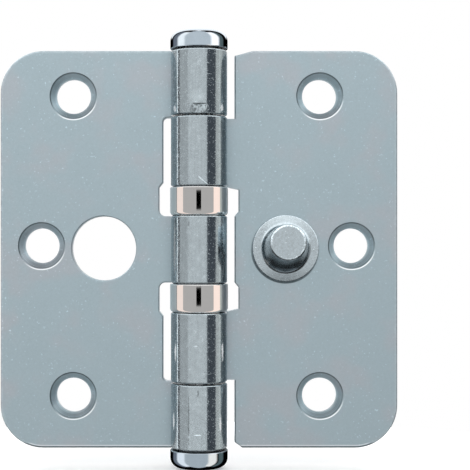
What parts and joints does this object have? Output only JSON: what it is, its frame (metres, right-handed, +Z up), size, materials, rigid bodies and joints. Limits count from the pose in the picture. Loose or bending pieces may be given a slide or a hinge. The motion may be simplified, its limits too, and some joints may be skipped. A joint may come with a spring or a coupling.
{
  "type": "security hinge",
  "caption": "Butt hinge with radiused leaves, ball bearings in the barrel, crowned caps and a locking stud that enters a hole in the other leaf when closed.",
  "frame": {"origin": "on the pin axis at mid height, the centre of the hinge laid open flat", "axes": "+X across the leaves towards the door leaf, +Y into the wood behind the leaves, +Z up along the pin"},
  "size_m": [0.089, 0.0128, 0.0972],
  "materials": {
    "leaf_steel": "satin zinc plating over steel sheet",
    "stud_steel": "turned and satin plated",
    "pin_steel": "drawn bar, greased",
    "cap_plating": "bright plating",
    "cup_nickel": "polished nickel plating",
    "race_steel": "ground hardened steel",
    "ball_steel": "polished bearing steel"
  },
  "bodies": {
    "frame": {"frame_leaf": "leaf_steel", "hinge_pin": "pin_steel", "top_cap": "cap_plating", "bottom_cap": "cap_plating", "upper_cup": "cup_nickel", "upper_lower_race": "race_steel", "lower_upper_race": "race_steel"},
    "door": {"door_leaf": "leaf_steel", "security_stud": "stud_steel", "upper_upper_race": "race_steel", "lower_cup": "cup_nickel", "lower_lower_race": "race_steel"},
    "upper_ball_set": {"upper_ball_01": "ball_steel", "upper_ball_02": "ball_steel", "upper_ball_03": "ball_steel", "upper_ball_04": "ball_steel", "upper_ball_05": "ball_steel", "upper_ball_06": "ball_steel", "upper_ball_07": "ball_steel", "upper_ball_08": "ball_steel", "upper_ball_09": "ball_steel", "upper_ball_10": "ball_steel", "upper_ball_11": "ball_steel"},
    "lower_ball_set": {"lower_ball_01": "ball_steel", "lower_ball_02": "ball_steel", "lower_ball_03": "ball_steel", "lower_ball_04": "ball_steel", "lower_ball_05": "ball_steel", "lower_ball_06": "ball_steel", "lower_ball_07": "ball_steel", "lower_ball_08": "ball_steel", "lower_ball_09": "ball_steel", "lower_ball_10": "ball_steel", "lower_ball_11": "ball_steel"}
  },
  "joints": [
    {"name": "leaf_swing", "type": "hinge", "parent": "frame", "child": "door", "pos_m": [0, 0, 0], "axis": [0, 0, 1], "range_deg": [-180, 90]},
    {"name": "upper_ball_orbit", "type": "hinge", "parent": "frame", "child": "upper_ball_set", "pos_m": [0, 0, 0], "axis": [0, 0, 1], "range_deg": [-90, 45]},
    {"name": "lower_ball_orbit", "type": "hinge", "parent": "frame", "child": "lower_ball_set", "pos_m": [0, 0, 0], "axis": [0, 0, 1], "range_deg": [-90, 45]}
  ],
  "couplings": [
    {"joint": "upper_ball_orbit", "follows": "leaf_swing", "ratio": 0.5},
    {"joint": "lower_ball_orbit", "follows": "leaf_swing", "ratio": 0.5}
  ]
}
